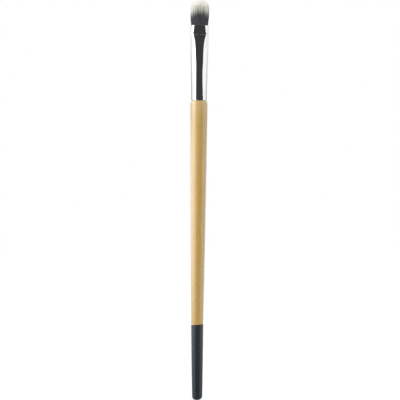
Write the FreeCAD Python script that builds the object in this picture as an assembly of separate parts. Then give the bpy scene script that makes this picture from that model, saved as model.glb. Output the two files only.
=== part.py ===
import FreeCAD, Part
import math
import os

# An eyeshadow brush standing on its tail. The tail end is at the origin, the hair points up +Z,
# and the flattened head is wide along X and thin along Y. All sizes are in millimetres.

# Lengths that show along the brush
DIP_LENGTH = 31.4
WOOD_LENGTH = 94.4
FERRULE_LENGTH = 31.7
HAIR_LENGTH = 10.8

# Turned wooden handle, as radii of the wood
TAIL_RADIUS = 1.97
TAIL_ROUND = 1.7
DIP_RADIUS = 2.45
BARREL_RADIUS = 3.58
BARREL_BOW = 0.11
SHOULDER_LENGTH = 2.4
TENON_CHAMFER = 0.4

# Lacquer that the tail is dipped in
COAT_THICKNESS = 0.06

# Metal ferrule: a round collar, a flare, then a flattened mouth above a crimped waist
WALL = 0.4
COLLAR_RADIUS = 3.36
COLLAR_LENGTH = 5.0
FLARE_LENGTH = 8.0
BELLY_RADIUS = 3.56
MOUTH_HALF_WIDTH = 3.99
MOUTH_HALF_DEPTH = 2.4
CRIMP_HALF_DEPTH = 2.15
CRIMP_BELOW_MOUTH = 3.7
FLAT_POWER_RATIO = 1.1
CREASE_WIDTH = 0.6
CREASE_DEPTH = 0.12

# Joins hidden in the ferrule
BOND_GAP = 0.02
FOOT_GAP = 0.05
GLUE_THICKNESS = 0.08
GLUE_SETBACK = 0.5
GLUE_LENGTH = 9.5
PLUG_FLOOR = 3.2
PLUG_AIR = 0.6

# Hair: the bundle clamped in the ferrule and the thread tied around its root
FIBRE_GAP = 0.05
ROOT_DEPTH = 11.0
ROOT_SQUEEZE_SHARE = 0.9
THREAD_DIAMETER = 0.3
THREAD_PITCH = 0.75
THREAD_TURNS = 4
THREAD_MARGIN = 0.5

# Hair that shows: an oval tuft with a domed end, dark below and pale above
TUFT_HALF_WIDTH = 3.92
TUFT_HALF_DEPTH = 2.65
TUFT_DOME = 3.4
TUFT_TIP_SHARE = 0.17
DARK_LENGTH = 5.2

# Where the tuft bends: a round foot turning in a hollow seat
HINGE_HEIGHT = 2.2
FOOT_CLEARANCE = 0.2
SEAT_GAP = 0.12
RIM_GAP = 0.4
FLEX_DEGREES = 30.0

# Heights that follow from those sizes
DIP_LINE = DIP_LENGTH
FERRULE_FOOT = DIP_LINE + WOOD_LENGTH
MOUTH = FERRULE_FOOT + FERRULE_LENGTH
HAIR_TOP = MOUTH + HAIR_LENGTH
BELLY_HEIGHT = COLLAR_LENGTH + FLARE_LENGTH
CRIMP_HEIGHT = FERRULE_LENGTH - CRIMP_BELOW_MOUTH
ROOT_HEIGHT = FERRULE_LENGTH - ROOT_DEPTH
PLUG_FOOT = ROOT_HEIGHT - BOND_GAP - PLUG_FLOOR
TENON_LENGTH = PLUG_FOOT - PLUG_AIR
TIE_LENGTH = THREAD_TURNS * THREAD_PITCH + THREAD_DIAMETER + 2 * THREAD_MARGIN

# How finely the oval forms are drawn, and the small step where one sits on another
OVAL_POINTS = 48
BODY_STEP = 1.5
DOME_STEPS = 9
JOIN_STEP = 0.01

UP = FreeCAD.Vector(0, 0, 1)


def point(x, y, z):
    return FreeCAD.Vector(x, y, z)


def blend(start, end, share):
    return start + (end - start) * share


def turned(edges):
    """A solid of revolution from edges that close a half outline in the XZ plane."""
    return Part.Face(Part.Wire(edges)).revolve(point(0, 0, 0), UP, 360)


def line(start, end):
    return Part.makeLine(start, end)


def arc(start, middle, end):
    return Part.Arc(start, middle, end).toShape()


def oval(height, half_width, half_depth, power_ratio=1.0):
    """A closed outline, an ellipse at power ratio 1 and flatter on its faces above that."""
    points = []
    for step in range(OVAL_POINTS):
        turn = 2 * math.pi * step / OVAL_POINTS
        across = math.cos(turn)
        along = math.sin(turn)
        x = half_width * math.copysign(abs(across) ** (1 / power_ratio), across)
        y = half_depth * math.copysign(abs(along) ** (1 / power_ratio), along)
        points.append(point(x, y, height))
    curve = Part.BSplineCurve()
    curve.interpolate(Points=points, PeriodicFlag=True, Parameters=list(range(OVAL_POINTS + 1)))
    return Part.Wire([curve.toShape()])


def slab(low, high):
    """Everything between two heights."""
    reach = 4 * BARREL_RADIUS
    return Part.makeBox(2 * reach, 2 * reach, high - low, point(-reach, -reach, low))


def cross_rod(radius):
    """A rod along the axis that the tuft bends about."""
    reach = 2 * MOUTH_HALF_WIDTH
    return Part.makeCylinder(radius, 2 * reach, point(-reach, 0, MOUTH + HINGE_HEIGHT), point(1, 0, 0))


# Handle and its dipped tail


def tail_edges(skin):
    """The tail's outline set out by skin from the wood: end face, rounded corner and taper."""
    corner = point(TAIL_RADIUS - TAIL_ROUND, 0, TAIL_ROUND + COAT_THICKNESS + BOND_GAP)
    bend = TAIL_ROUND + skin
    end_centre = point(0, 0, corner.z - bend)
    end_rim = point(corner.x, 0, corner.z - bend)
    half_way = point(corner.x + bend * math.sqrt(0.5), 0, corner.z - bend * math.sqrt(0.5))
    side = point(corner.x + bend, 0, corner.z)
    top = point(DIP_RADIUS + skin, 0, DIP_LINE)
    return [line(end_centre, end_rim), arc(end_rim, half_way, side), line(side, top)]


def wooden_handle():
    shoulder_height = FERRULE_FOOT - FOOT_GAP
    widest_height = shoulder_height - SHOULDER_LENGTH
    dip = point(DIP_RADIUS, 0, DIP_LINE)
    bow = point((DIP_RADIUS + BARREL_RADIUS) / 2 + BARREL_BOW, 0, (DIP_LINE + widest_height) / 2)
    widest = point(BARREL_RADIUS, 0, widest_height)
    turn = point(blend(BARREL_RADIUS, COLLAR_RADIUS, 0.25), 0, (widest_height + shoulder_height) / 2)
    shoulder = point(COLLAR_RADIUS, 0, shoulder_height)
    tenon_foot = point(tenon_radius(), 0, shoulder_height)
    tenon_side = point(tenon_radius(), 0, FERRULE_FOOT + TENON_LENGTH - TENON_CHAMFER)
    tenon_rim = point(tenon_radius() - TENON_CHAMFER, 0, FERRULE_FOOT + TENON_LENGTH)
    tenon_top = point(0, 0, FERRULE_FOOT + TENON_LENGTH)
    tail = tail_edges(0)
    edges = tail + [
        arc(dip, bow, widest),
        arc(widest, turn, shoulder),
        line(shoulder, tenon_foot),
        line(tenon_foot, tenon_side),
        line(tenon_side, tenon_rim),
        line(tenon_rim, tenon_top),
        line(tenon_top, tail[0].Vertexes[0].Point),
    ]
    return turned(edges)


def tail_dip_coat():
    outside = tail_edges(BOND_GAP + COAT_THICKNESS)
    inside = tail_edges(BOND_GAP)
    bottom = line(outside[0].Vertexes[0].Point, inside[0].Vertexes[0].Point)
    top = line(outside[2].Vertexes[1].Point, inside[2].Vertexes[1].Point)
    return turned(outside + [top] + inside[::-1] + [bottom])


def tenon_radius():
    return COLLAR_RADIUS - WALL - GLUE_THICKNESS - 2 * BOND_GAP


# Ferrule and what fills it


def ferrule_section(height):
    """Half width, half depth and power ratio of the ferrule's skin at a height above its foot."""
    if height <= BELLY_HEIGHT:
        rise = max(0.0, (height - COLLAR_LENGTH) / FLARE_LENGTH)
        radius = blend(COLLAR_RADIUS, BELLY_RADIUS, (1 - math.cos(math.pi * rise)) / 2)
        return radius, radius, 1.0
    if height <= CRIMP_HEIGHT:
        share = (height - BELLY_HEIGHT) / (CRIMP_HEIGHT - BELLY_HEIGHT)
        half_width = blend(BELLY_RADIUS, MOUTH_HALF_WIDTH, math.sin(share * math.pi / 2))
        half_depth = blend(BELLY_RADIUS, CRIMP_HALF_DEPTH, share ** 4)
        return half_width, half_depth, blend(1.0, FLAT_POWER_RATIO, share ** 4)
    share = (height - CRIMP_HEIGHT) / CRIMP_BELOW_MOUTH
    return MOUTH_HALF_WIDTH, blend(CRIMP_HALF_DEPTH, MOUTH_HALF_DEPTH, share), FLAT_POWER_RATIO


def ferrule_oval(height, inset):
    half_width, half_depth, power_ratio = ferrule_section(height)
    return oval(FERRULE_FOOT + height, half_width - inset, half_depth - inset, power_ratio)


def ferrule_form(inset, low, high):
    """The ferrule's form between two heights above its foot, set in by inset from its skin."""
    pieces = []
    if low < COLLAR_LENGTH:
        top = min(high, COLLAR_LENGTH)
        foot = point(0, 0, FERRULE_FOOT + low)
        pieces.append(Part.makeCylinder(COLLAR_RADIUS - inset, top - low, foot))
    start = max(low, COLLAR_LENGTH)
    end = min(high, CRIMP_HEIGHT)
    if end > start:
        steps = math.ceil((end - start) / BODY_STEP)
        sections = [ferrule_oval(start, inset + JOIN_STEP)]
        for step in range(1, steps + 1):
            sections.append(ferrule_oval(blend(start, end, step / steps), inset))
        pieces.append(Part.makeLoft(sections, True, False))
    if high > CRIMP_HEIGHT:
        start = max(low, CRIMP_HEIGHT)
        sections = [ferrule_oval(start, inset + JOIN_STEP), ferrule_oval(high, inset)]
        pieces.append(Part.makeLoft(sections, True, True))
    form = pieces[0]
    for piece in pieces[1:]:
        form = form.fuse(piece)
    return form


def ferrule():
    tube = ferrule_form(0, 0, FERRULE_LENGTH).cut(ferrule_form(WALL, 0, FERRULE_LENGTH))
    low = CRIMP_HEIGHT - CREASE_WIDTH / 2
    high = CRIMP_HEIGHT + CREASE_WIDTH / 2
    flanks = [
        ferrule_oval(low, -JOIN_STEP),
        ferrule_oval(CRIMP_HEIGHT, CREASE_DEPTH),
        ferrule_oval(high, -JOIN_STEP),
    ]
    crease = slab(FERRULE_FOOT + low, FERRULE_FOOT + high).cut(Part.makeLoft(flanks, True, True))
    return tube.cut(crease)


def tenon_glue_film():
    low = GLUE_SETBACK
    high = GLUE_SETBACK + GLUE_LENGTH
    outside = ferrule_form(WALL + BOND_GAP, low, high)
    inside = Part.makeCylinder(tenon_radius() + BOND_GAP, high - low, point(0, 0, FERRULE_FOOT + low))
    return outside.cut(inside)


def root_radius():
    """The round root keeps the area of the crimped bundle, squeezed a little by the thread."""
    half_width, half_depth, power_ratio = ferrule_section(CRIMP_HEIGHT)
    inset = WALL + FIBRE_GAP
    return ROOT_SQUEEZE_SHARE * math.sqrt((half_width - inset) * (half_depth - inset))


def root_glue_plug():
    top = ROOT_HEIGHT + TIE_LENGTH - THREAD_MARGIN
    body = ferrule_form(WALL + BOND_GAP, PLUG_FOOT, top)
    pocket_radius = root_radius() + THREAD_DIAMETER + 2 * BOND_GAP
    floor = point(0, 0, FERRULE_FOOT + PLUG_FOOT + PLUG_FLOOR)
    return body.cut(Part.makeCylinder(pocket_radius, top, floor))


def half_arc(start, tangent, end):
    """The arc that leaves start along tangent and reaches end."""
    chord = end - start
    along = FreeCAD.Vector(chord).normalize()
    lean = tangent.getAngle(along)
    aside = (tangent - along * tangent.dot(along)).normalize()
    middle = start + chord * 0.5 + aside * (chord.Length / 2 * math.tan(lean / 2))
    return arc(start, middle, end)


def helix_point(radius, turn, foot):
    rise = THREAD_PITCH * turn / (2 * math.pi)
    return point(radius * math.cos(turn), radius * math.sin(turn), foot + rise)


def helix_tangent(radius, turn):
    rise = THREAD_PITCH / (2 * math.pi)
    return point(-radius * math.sin(turn), radius * math.cos(turn), rise).normalize()


def root_tie_thread():
    radius = root_radius() + BOND_GAP + THREAD_DIAMETER / 2
    foot = FERRULE_FOOT + ROOT_HEIGHT + THREAD_MARGIN + THREAD_DIAMETER / 2
    edges = []
    for quarter in range(4 * THREAD_TURNS):
        turn = quarter * math.pi / 2
        start = helix_point(radius, turn, foot)
        end = helix_point(radius, turn + math.pi / 2, foot)
        leave = helix_tangent(radius, turn)
        arrive = helix_tangent(radius, turn + math.pi / 2)
        chord = end - start
        swing = 1 - leave.dot(arrive)
        pull = chord.dot(leave + arrive)
        reach = (math.sqrt(pull * pull + 2 * swing * chord.dot(chord)) - pull) / (2 * swing)
        middle = (start + end + (leave - arrive) * reach) * 0.5
        edges.append(half_arc(start, leave, middle))
        edges.append(half_arc(middle, (middle - start - leave * reach).normalize(), end))
    path = Part.Wire(edges)
    ring = Part.Circle(helix_point(radius, 0, foot), helix_tangent(radius, 0), THREAD_DIAMETER / 2)
    return path.makePipeShell([Part.Wire([ring.toShape()])], True, False)


# Hair


def tuft_section(rise):
    """Half width, half depth and power ratio of the tuft at a height above the mouth."""
    dome_foot = HAIR_LENGTH - TUFT_DOME
    if rise > dome_foot:
        turn = math.acos(TUFT_TIP_SHARE)
        lift = (rise - dome_foot) / TUFT_DOME * math.sin(turn)
        share = math.sqrt(1 - lift * lift)
        return TUFT_HALF_WIDTH * share, TUFT_HALF_DEPTH * share, 1.0
    half_width, half_depth, power_ratio = ferrule_section(FERRULE_LENGTH)
    inset = WALL + FIBRE_GAP
    share = rise / dome_foot
    width = blend(half_width - inset, TUFT_HALF_WIDTH, share)
    depth = blend(half_depth - inset, TUFT_HALF_DEPTH, share)
    return width, depth, blend(power_ratio, 1.0, share)


def tuft_oval(rise):
    return oval(MOUTH + rise, *tuft_section(rise))


def tuft_form():
    """The whole tuft above the mouth: sides that spread a little, then a domed end."""
    dome_foot = HAIR_LENGTH - TUFT_DOME
    turn = math.acos(TUFT_TIP_SHARE)
    rises = [0.0]
    for step in range(DOME_STEPS + 1):
        rises.append(dome_foot + TUFT_DOME * math.sin(turn * step / DOME_STEPS) / math.sin(turn))
    return Part.makeLoft([tuft_oval(rise) for rise in rises], True, True)


def foot_radius():
    return HINGE_HEIGHT - FOOT_CLEARANCE


def rim_height():
    """How far the clamped hair stands out of the mouth without meeting the tuft when it is bent over."""
    return HINGE_HEIGHT - TUFT_HALF_DEPTH * math.sin(math.radians(FLEX_DEGREES)) - RIM_GAP


def fibre_roots():
    radius = root_radius()
    low = FERRULE_FOOT + ROOT_HEIGHT
    inset = WALL + FIBRE_GAP
    sections = [
        oval(low, radius, radius),
        oval(low + TIE_LENGTH, radius, radius),
        ferrule_oval(CRIMP_HEIGHT, inset),
        tuft_oval(0),
        tuft_oval(rim_height()),
    ]
    return Part.makeLoft(sections, True, True).cut(cross_rod(foot_radius() + SEAT_GAP))


def bending_tuft():
    """The tuft above the bend, with a round foot below it."""
    around_foot = slab(MOUTH - HINGE_HEIGHT, MOUTH + HINGE_HEIGHT).cut(cross_rod(foot_radius()))
    return tuft_form().cut(around_foot)


def dark_base_fibres():
    return bending_tuft().common(slab(MOUTH - HINGE_HEIGHT, MOUTH + DARK_LENGTH))


def white_tip_fibres():
    return bending_tuft().common(slab(MOUTH + DARK_LENGTH, HAIR_TOP + TUFT_DOME))


def single_solid(name, shape):
    """The one closed solid of a shape; anything else is an error in the sizes."""
    shape = shape.removeSplitter()
    if len(shape.Solids) != 1 or not shape.isValid():
        raise ValueError(f"{name} came out as {len(shape.Solids)} solids, valid {shape.isValid()}")
    return shape.Solids[0]


def main():
    os.makedirs("parts", exist_ok=True)
    makers = [
        wooden_handle,
        tail_dip_coat,
        ferrule,
        tenon_glue_film,
        root_glue_plug,
        root_tie_thread,
        fibre_roots,
        dark_base_fibres,
        white_tip_fibres,
    ]
    for maker in makers:
        solid = single_solid(maker.__name__, maker())
        solid.exportStep(f"parts/{maker.__name__}.step")
        box = solid.BoundBox
        print(f"{maker.__name__}: {solid.Volume:.2f} mm3, z {box.ZMin:.2f} to {box.ZMax:.2f}")


main()
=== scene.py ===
"""An eyeshadow brush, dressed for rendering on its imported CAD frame."""

import math
import random

import bmesh
import bpy
from bpy.props import FloatProperty, FloatVectorProperty, IntProperty, PointerProperty
from mathutils import Matrix, Vector


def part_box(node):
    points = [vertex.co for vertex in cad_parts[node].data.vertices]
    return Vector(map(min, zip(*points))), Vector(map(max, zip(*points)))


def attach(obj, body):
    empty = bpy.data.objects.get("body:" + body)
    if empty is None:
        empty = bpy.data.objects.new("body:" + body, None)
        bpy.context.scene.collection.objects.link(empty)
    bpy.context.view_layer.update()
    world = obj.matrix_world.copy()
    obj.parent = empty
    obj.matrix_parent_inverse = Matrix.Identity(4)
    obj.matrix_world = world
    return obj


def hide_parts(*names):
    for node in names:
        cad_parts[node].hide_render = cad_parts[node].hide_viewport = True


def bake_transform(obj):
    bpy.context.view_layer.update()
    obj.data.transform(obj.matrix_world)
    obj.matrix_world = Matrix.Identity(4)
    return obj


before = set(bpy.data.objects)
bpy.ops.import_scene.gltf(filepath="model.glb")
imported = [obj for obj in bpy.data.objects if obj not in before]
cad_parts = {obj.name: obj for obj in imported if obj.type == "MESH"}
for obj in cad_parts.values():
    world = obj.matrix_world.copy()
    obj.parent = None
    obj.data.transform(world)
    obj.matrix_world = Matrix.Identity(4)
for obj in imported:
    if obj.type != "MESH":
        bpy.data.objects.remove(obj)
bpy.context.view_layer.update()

bl_info = {
    "name": "Eyeshadow brush",
    "version": (1, 0, 0),
    "blender": (4, 5, 0),
    "location": "3D View > Sidebar > Brush",
    "description": "Builds the visible pieces and finishes of an eyeshadow brush on its CAD frame",
    "category": "Object",
}

# Heights read from the CAD frame, in metres. The brush stands on its tail, hair up.
DIP_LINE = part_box("tail_dip_coat")[1].z
FERRULE_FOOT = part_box("ferrule")[0].z
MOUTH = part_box("ferrule")[1].z
TENON_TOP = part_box("wooden_handle")[1].z
ROOT_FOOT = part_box("fibre_roots")[0].z
HAIR_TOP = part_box("white_tip_fibres")[1].z

# Small sizes that several pieces share. All lengths here and below are in metres.
# TAIL_LIFT is the room for lacquer under the wood, and SEAM the gap between wood and ferrule.
# HAIR_GAP is the gap between metal and hair. A flat end is capped on a ring of CLOSING_RADIUS.
MM = 0.001
THREAD_THICKNESS = 0.00032
TAIL_LIFT = 0.00008
SEAM = 0.00005
HAIR_GAP = 0.00005
CLOSING_RADIUS = 0.00001

ROOT_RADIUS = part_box("root_tie_thread")[1].x - THREAD_THICKNESS
SHOULDER = FERRULE_FOOT - SEAM

UV_NAME = "OFBake"
WHITE = (1.0, 1.0, 1.0, 1.0)


# Settings


def length(label, what, default):
    """A length a user can change, in metres."""
    return FloatProperty(name=label, description=what, default=default, min=0.0, precision=5, unit="LENGTH")


def share(label, what, default):
    """A plain number a user can change."""
    return FloatProperty(name=label, description=what, default=default, min=0.0, precision=3)


def angle(label, what, default):
    """An angle a user can change, in radians."""
    return FloatProperty(name=label, description=what, default=default, subtype="ANGLE")


def amount(label, what, default, smallest):
    """A whole number a user can change."""
    return IntProperty(name=label, description=what, default=default, min=smallest)


def colour(label, what, default):
    """A colour a user can change, in linear light."""
    return FloatVectorProperty(
        name=label, description=what, default=default, size=3, min=0.0, max=1.0, subtype="COLOR"
    )


class HandleSettings(bpy.types.PropertyGroup):
    """Sizes and colours of the turned bamboo handle."""

    tail_radius: length("Tail radius", "Radius of the wood at its tail end", 0.00207)
    tail_round: length("Tail rounding", "Radius of the rounded tail end", 0.0015)
    tail_bow: length("Tail bow", "How far the tail swells out of a straight taper", 0.00003)
    tail_sway: length("Tail sway", "How far the tail end bends to the right", 0.00025)
    tail_slant: length("Tail slant", "How much higher the right side of the tail end is", 0.0003)
    sway_length: length("Sway length", "Length of the tail that bends", 0.033)
    dip_radius: length("Dip line radius", "Radius of the wood where the dip ends", 0.0025)
    barrel_radius: length("Barrel radius", "Largest radius of the wood", 0.00361)
    barrel_bow: length("Barrel bow", "How far the barrel swells out of a straight taper", 0.00011)
    shoulder_length: length("Shoulder length", "Height over which the wood closes in to the ferrule", 0.0024)
    shoulder_round: length("Shoulder rounding", "Rounded edge under the ferrule", 0.0003)
    tenon_radius: length("Tenon radius", "Radius of the wood inside the ferrule", 0.00284)
    pale: colour("Pale wood", "Lightest tone of the bamboo", (0.45, 0.287, 0.075))
    middle: colour("Middle wood", "Main tone of the bamboo", (0.38, 0.233, 0.046))
    dark: colour("Dark wood", "Fibre bundles in the bamboo", (0.26, 0.145, 0.031))
    # Painted highlight: a pale tone mixed into the wood just under the ferrule
    shoulder_highlight_tone: colour("Bare wood", "Sanded edge under the ferrule", (0.78, 0.70, 0.52))


class DipSettings(bpy.types.PropertyGroup):
    """Sizes and colour of the lacquer on the tail."""

    gap: length("Gap", "Space between wood and lacquer", 0.00002)
    thickness: length("Thickness", "Thickness of the lacquer", 0.00006)
    bead: length("Bead", "Extra thickness of the rounded bead along the dip line", 0.00003)
    wave: length("Wave", "How uneven the dip line is", 0.00019)
    lacquer: colour("Lacquer", "Blue-black lacquer", (0.0165, 0.0212, 0.0248))
    thin: colour("Thin lacquer", "Where the lacquer thins out over the wood", (0.050, 0.034, 0.018))


class FerruleSettings(bpy.types.PropertyGroup):
    """Sizes and colour of the metal ferrule."""

    wall: length("Wall", "Thickness of the metal", 0.00037)
    collar_radius: length("Collar radius", "Radius at the handle", 0.00333)
    foot_edge: length("Foot edge", "Radius of the rolled edge at the handle", 0.00013)
    mouth_edge: length("Mouth edge", "Radius of the rolled edge at the mouth", 0.000074)
    taper_length: length("Taper length", "Height over which the metal widens", 0.0235)
    taper_half_width: length("Taper half width", "Half the width at the top of the taper", 0.00387)
    taper_power: share("Taper power", "How late the metal widens, 1 for a straight cone", 1.35)
    round_foot: length("Round foot", "Height up to which the metal is round", 0.009)
    round_top: length("Round top", "Height at which the metal stops growing in depth", 0.017)
    mouth_half_width: length("Mouth half width", "Half the width at the mouth", 0.00394)
    mouth_half_depth: length("Mouth half depth", "Half the thickness at the mouth", 0.00262)
    crimp_half_depth: length("Crimp half depth", "Half the thickness at the crimp", 0.002)
    crimp_below_mouth: length("Crimp below mouth", "Distance from the mouth down to the crimp", 0.0037)
    mouth_dip: length("Mouth dip", "How much lower the mouth is at its sides", 0.00026)
    dent_width: length("Dent width", "Width of the soft dent at the crimp", 0.0007)
    dent_depth: length("Dent depth", "Depth of the soft dent at the crimp", 0.00003)
    crease_width: length("Crease width", "Width of the sharp line in the dent", 0.00006)
    crease_depth: length("Crease depth", "Depth of the sharp line in the dent", 0.000028)
    flat_power: share("Flatness", "How square the flattened outline is, 1 for an ellipse", 1.1)
    twist: angle("Twist", "How far the flattened mouth is turned out of the front", math.radians(-1.3))
    metal: colour("Metal", "Polished plating", (0.95, 0.95, 0.953))


class HairSettings(bpy.types.PropertyGroup):
    """Sizes and colours of the tuft."""

    half_width: length("Half width", "Half the width of the tuft at its widest", 0.00392)
    half_depth: length("Half depth", "Half the thickness of the tuft at its thickest", 0.00265)
    dome: length("Dome", "Height of the rounded end", 0.0034)
    spread: length("Spread", "How far the fibres swell out just above the metal", 0.00016)
    fibre_radius: length("Fibre radius", "Radius of one fibre at its root", 0.000042)
    fibres: amount("Fibres", "How many fibres show", 4000, 100)
    locks: amount("Locks", "How many locks of fibres stand around the outside", 20, 4)
    dye_top: length("Dye top", "Height above the mouth where a lock starts to turn white", 0.0046)
    dye_drop: length("Dye drop", "How much lower it starts at a lock's edge", 0.0010)
    # Partly dye, partly painted light: the white starts lower at the sides of the tuft
    dye_and_light_left_drop: length("Dye left drop", "How much lower it starts on the left of the tuft", 0.0015)
    dye_and_light_right_drop: length("Dye right drop", "How much lower it starts on the right of the tuft", 0.0008)
    dye_fade: length("Dye fade", "Length over which dark turns to white", 0.0042)
    lean: length("Lean", "How far the tip stands to one side", 0.0001)
    fringe: length("Fringe", "How uneven the fibres' ends are", 0.00025)
    dark: colour("Dark fibre", "Tone of the fibre at its root", (0.055, 0.055, 0.060))
    pale: colour("Pale fibre", "Tone of the fibre at its tip", (0.84, 0.828, 0.76))
    seed: amount("Seed", "Changes the pattern of the fibres", 7, 0)


class StageSettings(bpy.types.PropertyGroup):
    """Camera, light and floor."""

    lens: share("Lens", "Focal length of the camera in millimetres", 400.0)
    frame_width: length("Frame width", "Width that the camera sees at the brush", 0.168)
    aim_height: length("Aim height", "Height that the camera looks at", 0.08404)
    aim_side: length("Aim side", "Distance of the camera to the right of the brush", 0.000755)
    lean: angle("Lean", "Lean of the brush in the picture", math.radians(0.46))
    overhead_radiance: share("Overhead light", "Brightness of the panel above the camera", 2.4)
    fill_radiance: share("Fill light", "Brightness of the panel above on the right", 0.5)
    left_radiance: share("Left light", "Brightness of the panel on the left", 1.5)
    high_radiance: share("High left light", "Brightness of the panel higher up on the left", 0.4)
    ambient: share("Ambient light", "Brightness of the room's own light", 0.62)
    card_distance: length("Card distance", "Distance from the brush to the dark card in front", 0.06)
    near_bend: length("Near bend", "Radius of the grey cards bent around the ferrule's mouth", 0.03)
    far_bend: length("Far bend", "Radius of the grey cards bent around the ferrule further out", 0.3)
    floor: colour("Floor", "Pale floor", (0.95, 0.95, 0.95))


# Meshes


def link_piece(name, mesh):
    """A new object in the scene for a mesh."""
    piece = bpy.data.objects.new(name, mesh)
    bpy.context.scene.collection.objects.link(piece)
    return piece


def blend(start, end, part):
    """From start, at part 0, to end, at part 1."""
    return start + (end - start) * part


def smooth_step(low, high, value):
    """0 up to low, 1 from high on, and smooth between them."""
    part = min(1.0, max(0.0, (value - low) / (high - low)))
    return part * part * (3.0 - 2.0 * part)


def loft(name, rings, joined):
    """A closed, smooth mesh through rings that all have the same number of points.

    With joined, the last ring meets the first again, as in a tube with a wall.
    Otherwise both ends are capped.
    """
    shape = bmesh.new()
    uv_map = shape.loops.layers.uv.new(UV_NAME)
    rows = [[shape.verts.new(place) for place in ring] for ring in rings]
    around = len(rows[0])
    spans = list(zip(rows, rows[1:]))
    if joined:
        spans.append((rows[-1], rows[0]))
    for along, (low, high) in enumerate(spans):
        for step in range(around):
            after = (step + 1) % around
            face = shape.faces.new((low[step], low[after], high[after], high[step]))
            face.smooth = True
            corners = ((step, along), (step + 1, along), (step + 1, along + 1), (step, along + 1))
            for corner, (side, height) in zip(face.loops, corners):
                corner[uv_map].uv = (side / around, height / len(spans))
    if not joined:
        shape.faces.new(rows[0][::-1])
        shape.faces.new(rows[-1])
    bmesh.ops.recalc_face_normals(shape, faces=shape.faces)
    mesh = bpy.data.meshes.new(name)
    shape.to_mesh(mesh)
    shape.free()
    return link_piece(name, mesh)


def oval_point(turn, height, half_width, half_depth, power):
    """A point on an oval; a power over 1 makes the oval squarer."""
    across = math.cos(turn)
    along = math.sin(turn)
    x = half_width * math.copysign(abs(across) ** (1 / power), across)
    y = half_depth * math.copysign(abs(along) ** (1 / power), along)
    return Vector((x, y, height))


def oval_ring(height, half_width, half_depth, power=1.0, count=128):
    """The points of an oval, counted around from its right side."""
    turns = [2 * math.pi * step / count for step in range(count)]
    return [oval_point(turn, height, half_width, half_depth, power) for turn in turns]


def steps_between(low, high, spacing):
    """Values from low to high, both included, no further apart than spacing."""
    count = max(1, math.ceil(abs(high - low) / spacing))
    return [blend(low, high, step / count) for step in range(count + 1)]


# Shader nodes


def plug(tree, socket, value):
    """Links a socket to the one that feeds it, or sets its value."""
    if isinstance(value, bpy.types.NodeSocket):
        tree.links.new(value, socket)
    else:
        socket.default_value = value


def put(tree, kind, inputs=None, **settings):
    """A new node with its settings; each input takes a value or the socket that feeds it."""
    made = tree.nodes.new(kind)
    for name, value in settings.items():
        setattr(made, name, value)
    for key, value in (inputs or {}).items():
        plug(tree, made.inputs[key], value)
    return made


def calculate(tree, operation, first, second):
    return put(tree, "ShaderNodeMath", {0: first, 1: second}, operation=operation).outputs[0]


def times(tree, first, second):
    return calculate(tree, "MULTIPLY", first, second)


def vector_math(tree, operation, inputs, output="Vector"):
    return put(tree, "ShaderNodeVectorMath", inputs, operation=operation).outputs[output]


def mix_colours(tree, factor, first, second, blend_type="MIX"):
    inputs = {0: factor, 6: first, 7: second}
    return put(tree, "ShaderNodeMix", inputs, data_type="RGBA", blend_type=blend_type).outputs[2]


def remap(tree, value, low, high, new_low=0.0, new_high=1.0):
    """A smooth change from new_low, where the value is low, to new_high, where it is high."""
    inputs = {"Value": value, "From Min": low, "From Max": high, "To Min": new_low, "To Max": new_high}
    return put(tree, "ShaderNodeMapRange", inputs, interpolation_type="SMOOTHSTEP").outputs[0]


def noise(tree, vector, scale, detail=3.0, roughness=0.55):
    inputs = {"Vector": vector, "Scale": scale, "Detail": detail, "Roughness": roughness}
    return put(tree, "ShaderNodeTexNoise", inputs).outputs[0]


def opaque(rgb):
    return (rgb[0], rgb[1], rgb[2], 1.0)


def millimetres(tree):
    """The place on the piece, in millimetres."""
    place = put(tree, "ShaderNodeTexCoord").outputs["Object"]
    return vector_math(tree, "MULTIPLY", {0: place, 1: (1000.0, 1000.0, 1000.0)})


def height_of(tree, place):
    return put(tree, "ShaderNodeSeparateXYZ", {0: place}).outputs[2]


def new_group(name, inputs, outputs):
    """A shader group that puts out plain values, with its input and output nodes."""
    tree = bpy.data.node_groups.new(name, "ShaderNodeTree")
    for label, kind in inputs:
        tree.interface.new_socket(name=label, in_out="INPUT", socket_type=kind)
    for label in outputs:
        tree.interface.new_socket(name=label, in_out="OUTPUT", socket_type="NodeSocketFloat")
    return tree, put(tree, "NodeGroupInput"), put(tree, "NodeGroupOutput")


def lengthwise_fibres():
    """A group for fibres that run along Z: soft streaks, and thin dark dashes."""
    name = "Lengthwise fibres"
    if name in bpy.data.node_groups:
        return bpy.data.node_groups[name]
    inputs = [("Vector", "NodeSocketVector"), ("Across", "NodeSocketFloat"), ("Along", "NodeSocketFloat")]
    tree, given, result = new_group(name, inputs, ["Streaks", "Dashes"])
    across = given.outputs["Across"]
    stretch = put(tree, "ShaderNodeCombineXYZ", {0: across, 1: across, 2: given.outputs["Along"]}).outputs[0]
    vector = vector_math(tree, "MULTIPLY", {0: given.outputs["Vector"], 1: stretch})
    streaks = noise(tree, vector, 1.0, detail=5.0, roughness=0.62)
    dashes = remap(tree, noise(tree, vector, 2.3, detail=2.0, roughness=0.5), 0.60, 0.70)
    tree.links.new(streaks, result.inputs["Streaks"])
    tree.links.new(dashes, result.inputs["Dashes"])
    return tree


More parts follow.
